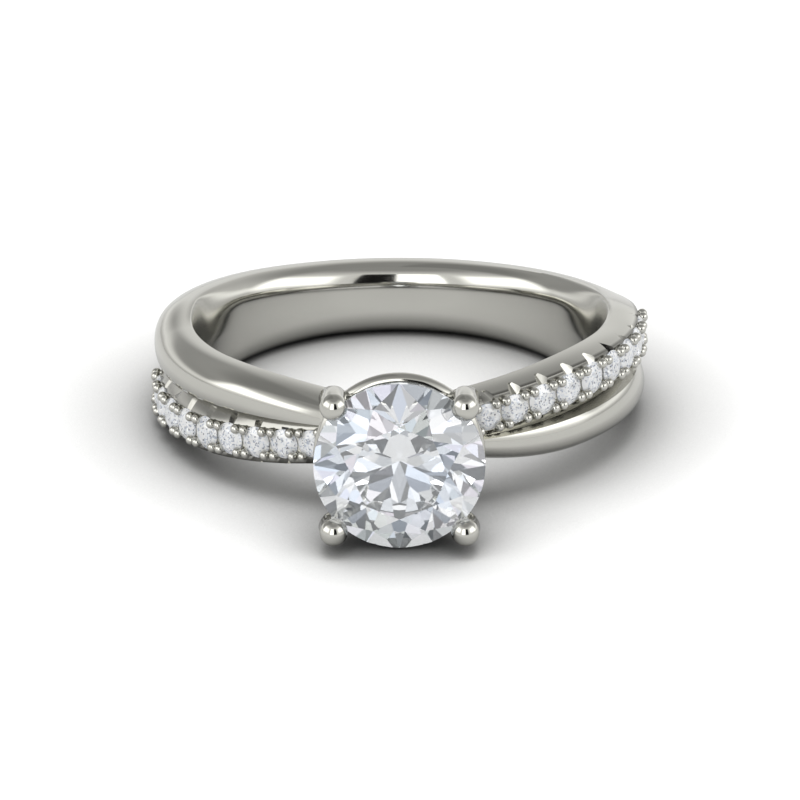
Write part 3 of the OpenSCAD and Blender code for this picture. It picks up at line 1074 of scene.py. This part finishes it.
floor_mesh = bpy.data.meshes.new("floor")
corner_signs = [(-1, -1), (1, -1), (1, 1), (-1, 1)]
floor_mesh.from_pydata([(x * FLOOR_HALF, y * FLOOR_HALF, 0) for x, y in corner_signs], [],
                       [(0, 1, 2, 3)])
floor = bpy.data.objects.new("floor", floor_mesh)
bpy.context.scene.collection.objects.link(floor)
floor.location.z = -FLOOR_BELOW
floor_mat, fb = material("white_sheet")
grain = fb.node("ShaderNodeTexNoise", inputs={"Vector": in_mm(fb), "Scale": 0.1})
# Painted shadow: the sheet's colour darkens where the ring is close above it; rays other than the
# camera's see it darker still.
open_air = fb.node("ShaderNodeAmbientOcclusion", {"samples": 8}, {"Distance": SHADOW_REACH}, out="AO")
seen = fb.node("ShaderNodeLightPath", out="Is Camera Ray")
bright = fb.math("POWER", open_air, SHADOW_POWER) * (FLOOR_IN_METAL + (1 - FLOOR_IN_METAL) * seen)
paper = grain.blend((0.88, 0.88, 0.88, 1), (0.90, 0.90, 0.90, 1))
sheet = fb.node("ShaderNodeBsdfPrincipled", inputs={
    "Base Color": bright.blend((0.03, 0.03, 0.03, 1), paper), "Roughness": 0.9,
    "Specular IOR Level": 0.0})
surface(fb, sheet)
floor_mesh.materials.append(floor_mat)
floor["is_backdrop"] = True
print("floor: %.1f m wide" % (2 * FLOOR_HALF))

# %% [markdown]
# A wide soft light straight above brightens the sheet. It is hidden from reflections, so that the
# metal shows only the tent.

# %% Overhead light
LAMP_WIDTH, LAMP_WATTS, LAMP_PLACE = 0.22, 0.42, (0.0, 0.01, 0.25)

lamp = bpy.data.lights.new("overhead", "AREA")
lamp.shape, lamp.size, lamp.energy = "DISK", LAMP_WIDTH, LAMP_WATTS
overhead = bpy.data.objects.new("overhead", lamp)
overhead.location = LAMP_PLACE
overhead.visible_glossy = False
bpy.context.scene.collection.objects.link(overhead)
overhead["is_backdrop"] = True
print("overhead light: %.2f W" % lamp.energy)

# %% [markdown]
# ## Camera
# The picture looks at the ring from the side of its head and from above, without perspective. It aims
# a little beside and below the middle of the finger hole.

# %% Camera
ELEV = math.radians(23.735)
PICTURE_WIDTH = 0.034364
AIM_RIGHT, AIM_BELOW = 0.000026, 0.001688
CAMERA_AWAY = 0.15

cam_data = bpy.data.cameras.new("camera")
cam_data.type = "ORTHO"
cam_data.ortho_scale = PICTURE_WIDTH
cam = bpy.data.objects.new("camera", cam_data)
bpy.context.scene.collection.objects.link(cam)
bpy.context.scene.camera = cam
look = Vector((0, math.cos(ELEV), -math.sin(ELEV)))
up = Vector((0, math.sin(ELEV), math.cos(ELEV)))
target = PLACE @ Vector((0, 0, 0)) - up * AIM_BELOW + Vector((AIM_RIGHT, 0, 0))
cam.location = target - look * CAMERA_AWAY
cam.rotation_mode = "QUATERNION"
cam.rotation_quaternion = look.to_track_quat("-Z", "Y")
cam_data.clip_start, cam_data.clip_end = 0.001, 2.0
bpy.context.scene.view_settings.view_transform = "Standard"
print("picture width: %.1f mm" % (PICTURE_WIDTH / MM))

# %% [markdown]
# The dressed ring is meant to keep to the imported ring's box, apart from a few hundredths of a
# millimetre. Both boxes are printed.

# %% Print the sizes of both boxes
bpy.context.view_layer.update()
new_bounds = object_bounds()
for label, (lo, hi) in (("packed", cad_bounds), ("dressed", new_bounds)):
    print(label, [round((h - l) / MM, 3) for l, h in zip(lo, hi)], "mm")
